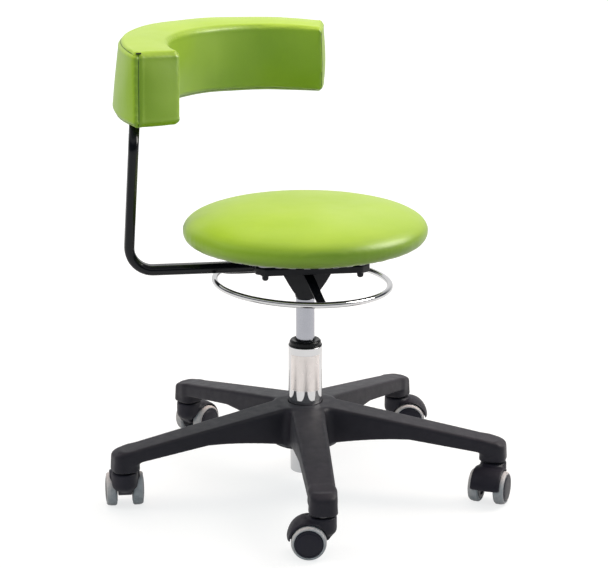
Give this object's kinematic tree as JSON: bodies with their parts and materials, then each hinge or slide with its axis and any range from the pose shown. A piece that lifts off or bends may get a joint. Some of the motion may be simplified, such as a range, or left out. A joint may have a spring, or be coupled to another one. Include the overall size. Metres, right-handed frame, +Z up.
{
  "type": "dentist stool",
  "caption": "Wheeled clinic stool with a round padded seat, a curved padded body support on a side post, a ring under the seat that releases the height, and a five-star base.",
  "frame": {"origin": "on the floor, at the centre of the object's bounding box seen from above; the column's axis stands 7.7 mm to +X and 27.8 mm to -Y of it", "axes": "+Z up; the column, the seat and the castor stems stand parallel to +Z; the support bar runs out from the column towards -X, and the open side of the curved pad faces -Y, the side a person faces"},
  "size_m": [0.5988, 0.6856, 0.6685],
  "materials": {
    "lime_vinyl": "smooth lime green upholstery vinyl over foam, soft sheen",
    "black_nylon": "fine-textured charcoal black glass-filled nylon",
    "chrome": "polished chrome plate",
    "satin_steel": "satin ground steel tube",
    "machined_steel": "plain zinc-plated steel",
    "gloss_black_paint": "gloss black powder coat",
    "satin_black_paint": "satin black powder coat",
    "black_acetal": "smooth black acetal",
    "grey_tread": "soft grey polyurethane, matt",
    "birch_plywood": "plain birch plywood, hidden inside the cushions"
  },
  "bodies": {
    "base": {"star_base": "black_nylon", "column_outer_tube": "chrome", "guide_bush": "black_acetal", "thrust_bearing": "machined_steel", "castor_1_stem": "machined_steel", "castor_2_stem": "machined_steel", "castor_3_stem": "machined_steel", "castor_4_stem": "machined_steel", "castor_5_stem": "machined_steel"},
    "spindle": {"piston_rod": "machined_steel", "retaining_clip": "machined_steel"},
    "lift": {"pressure_tube": "satin_steel", "taper_socket": "satin_black_paint", "seat_plate": "satin_black_paint", "support_bar": "gloss_black_paint", "pad_board": "birch_plywood", "pad_cushion": "lime_vinyl", "turntable_lower": "machined_steel", "plate_bolt_1": "machined_steel", "plate_bolt_2": "machined_steel", "plate_bolt_3": "machined_steel", "plate_bolt_4": "machined_steel"},
    "seat": {"turntable_upper": "machined_steel", "seat_board": "birch_plywood", "seat_cushion": "lime_vinyl"},
    "ring": {"release_ring": "chrome", "ring_spider": "satin_black_paint"},
    "button": {"release_button": "machined_steel"},
    "castor_1": {"castor_1_hood": "black_nylon", "castor_1_axle": "machined_steel"},
    "castor_1_wheel_left": {"castor_1_hub_left": "black_nylon", "castor_1_tyre_left": "grey_tread"},
    "castor_1_wheel_right": {"castor_1_hub_right": "black_nylon", "castor_1_tyre_right": "grey_tread"},
    "castor_2": {"castor_2_hood": "black_nylon", "castor_2_axle": "machined_steel"},
    "castor_2_wheel_left": {"castor_2_hub_left": "black_nylon", "castor_2_tyre_left": "grey_tread"},
    "castor_2_wheel_right": {"castor_2_hub_right": "black_nylon", "castor_2_tyre_right": "grey_tread"},
    "castor_3": {"castor_3_hood": "black_nylon", "castor_3_axle": "machined_steel"},
    "castor_3_wheel_left": {"castor_3_hub_left": "black_nylon", "castor_3_tyre_left": "grey_tread"},
    "castor_3_wheel_right": {"castor_3_hub_right": "black_nylon", "castor_3_tyre_right": "grey_tread"},
    "castor_4": {"castor_4_hood": "black_nylon", "castor_4_axle": "machined_steel"},
    "castor_4_wheel_left": {"castor_4_hub_left": "black_nylon", "castor_4_tyre_left": "grey_tread"},
    "castor_4_wheel_right": {"castor_4_hub_right": "black_nylon", "castor_4_tyre_right": "grey_tread"},
    "castor_5": {"castor_5_hood": "black_nylon", "castor_5_axle": "machined_steel"},
    "castor_5_wheel_left": {"castor_5_hub_left": "black_nylon", "castor_5_tyre_left": "grey_tread"},
    "castor_5_wheel_right": {"castor_5_hub_right": "black_nylon", "castor_5_tyre_right": "grey_tread"}
  },
  "joints": [
    {"name": "column_swivel", "type": "hinge", "parent": "base", "child": "spindle", "pos_m": [0.0077, -0.02775, 0.1], "axis": [0, 0, 1], "continuous": true},
    {"name": "seat_height", "type": "slide", "parent": "spindle", "child": "lift", "axis": [0, 0, 1], "range_m": [-0.06, 0.07]},
    {"name": "seat_turn", "type": "hinge", "parent": "lift", "child": "seat", "pos_m": [0.0077, -0.02775, 0.3643], "axis": [0, 0, 1], "continuous": true},
    {"name": "ring_tilt", "type": "hinge", "parent": "lift", "child": "ring", "pos_m": [0.0337, -0.02775, 0.334], "axis": [0, -1, 0], "range_deg": [0, 5], "stiffness_Nm_per_rad": 10},
    {"name": "release_press", "type": "slide", "parent": "lift", "child": "button", "axis": [0, 0, -1], "range_m": [0, 0.0025]},
    {"name": "castor_1_swivel", "type": "hinge", "parent": "base", "child": "castor_1", "pos_m": [-0.01016, -0.3156, 0.053], "axis": [0, 0, 1], "continuous": true},
    {"name": "castor_1_spin_left", "type": "hinge", "parent": "castor_1", "child": "castor_1_wheel_left", "pos_m": [-0.02994, -0.31264, 0.02462], "axis": [-0.1478, -0.989, 0], "continuous": true},
    {"name": "castor_1_spin_right", "type": "hinge", "parent": "castor_1", "child": "castor_1_wheel_right", "pos_m": [-0.02994, -0.31264, 0.02462], "axis": [-0.1478, -0.989, 0], "continuous": true},
    {"name": "castor_2_swivel", "type": "hinge", "parent": "base", "child": "castor_2", "pos_m": [0.27594, -0.13368, 0.053], "axis": [0, 0, 1], "continuous": true},
    {"name": "castor_2_spin_left", "type": "hinge", "parent": "castor_2", "child": "castor_2_wheel_left", "pos_m": [0.266, -0.15104, 0.02462], "axis": [0.8678, -0.497, 0], "continuous": true},
    {"name": "castor_2_spin_right", "type": "hinge", "parent": "castor_2", "child": "castor_2_wheel_right", "pos_m": [0.266, -0.15104, 0.02462], "axis": [0.8678, -0.497, 0], "continuous": true},
    {"name": "castor_3_swivel", "type": "hinge", "parent": "base", "child": "castor_3", "pos_m": [0.19134, 0.19463, 0.053], "axis": [0, 0, 1], "continuous": true},
    {"name": "castor_3_spin_left", "type": "hinge", "parent": "castor_3", "child": "castor_3_wheel_left", "pos_m": [0.21112, 0.19167, 0.02462], "axis": [0.1478, 0.989, 0], "continuous": true},
    {"name": "castor_3_spin_right", "type": "hinge", "parent": "castor_3", "child": "castor_3_wheel_right", "pos_m": [0.21112, 0.19167, 0.02462], "axis": [0.1478, 0.989, 0], "continuous": true},
    {"name": "castor_4_swivel", "type": "hinge", "parent": "base", "child": "castor_4", "pos_m": [-0.14705, 0.21562, 0.053], "axis": [0, 0, 1], "continuous": true},
    {"name": "castor_4_spin_left", "type": "hinge", "parent": "castor_4", "child": "castor_4_wheel_left", "pos_m": [-0.1322, 0.22903, 0.02462], "axis": [-0.6704, 0.742, 0], "continuous": true},
    {"name": "castor_4_spin_right", "type": "hinge", "parent": "castor_4", "child": "castor_4_wheel_right", "pos_m": [-0.1322, 0.22903, 0.02462], "axis": [-0.6704, 0.742, 0], "continuous": true},
    {"name": "castor_5_swivel", "type": "hinge", "parent": "base", "child": "castor_5", "pos_m": [-0.27158, -0.09972, 0.053], "axis": [0, 0, 1], "continuous": true},
    {"name": "castor_5_spin_left", "type": "hinge", "parent": "castor_5", "child": "castor_5_wheel_left", "pos_m": [-0.27088, -0.07973, 0.02462], "axis": [-0.9994, 0.0349, 0], "continuous": true},
    {"name": "castor_5_spin_right", "type": "hinge", "parent": "castor_5", "child": "castor_5_wheel_right", "pos_m": [-0.27088, -0.07973, 0.02462], "axis": [-0.9994, 0.0349, 0], "continuous": true}
  ],
  "couplings": [
    {"joint": "release_press", "follows": "ring_tilt", "m_per_rad": 0.026}
  ]
}
